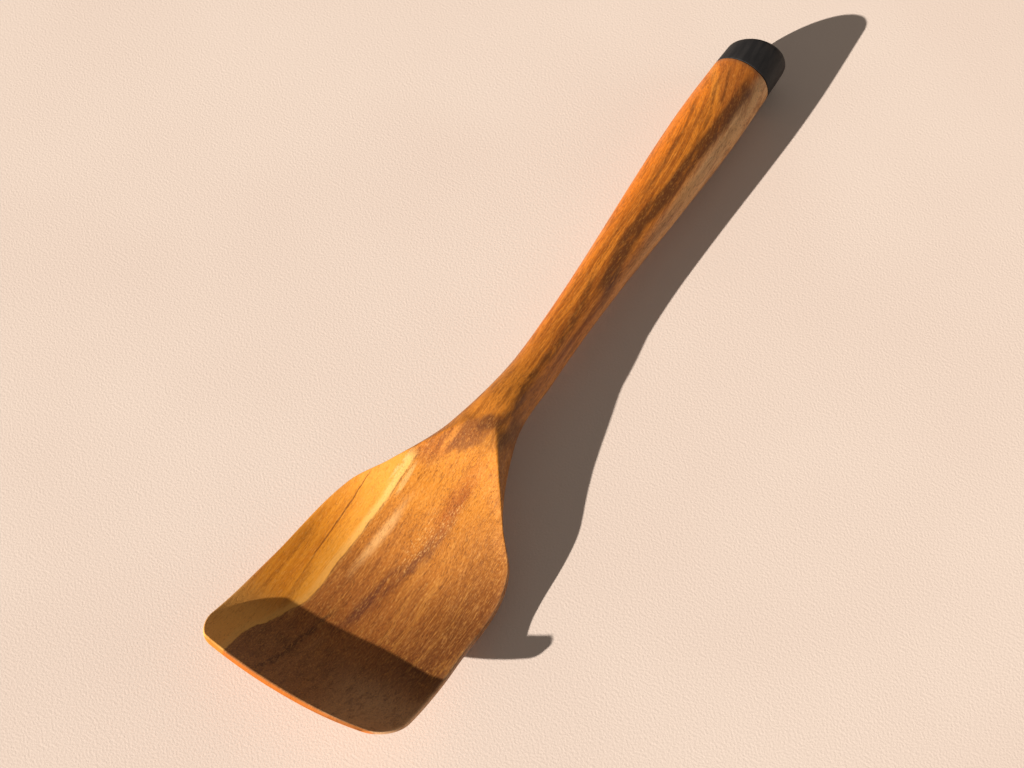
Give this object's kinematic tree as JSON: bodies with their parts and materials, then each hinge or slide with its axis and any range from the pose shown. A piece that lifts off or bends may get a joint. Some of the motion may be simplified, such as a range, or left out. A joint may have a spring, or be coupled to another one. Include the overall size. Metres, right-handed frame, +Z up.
{
  "type": "wooden spatula",
  "caption": "Wooden wok turner: a broad dished blade with a turned-up lip flows through a deep neck into a round handle with a dark horn end cap.",
  "frame": {"origin": "on the table, on the flat sole under the heel of the blade", "axes": "+X runs from the blade to the end cap, +Y to the blade's left seen from the cap, +Z up from the table"},
  "size_m": [0.3388, 0.083, 0.0335],
  "materials": {
    "oiled_wood": "oiled satin, golden sapwood on one side and red-brown heartwood on the other",
    "dark_horn": "satin, nearly black",
    "dowel_wood": "bare",
    "glue": "cured"
  },
  "bodies": {
    "root": {"carved_blade_and_handle": "oiled_wood", "end_cap": "dark_horn", "cap_dowel": "dowel_wood", "glue_film": "glue"}
  },
  "joints": []
}
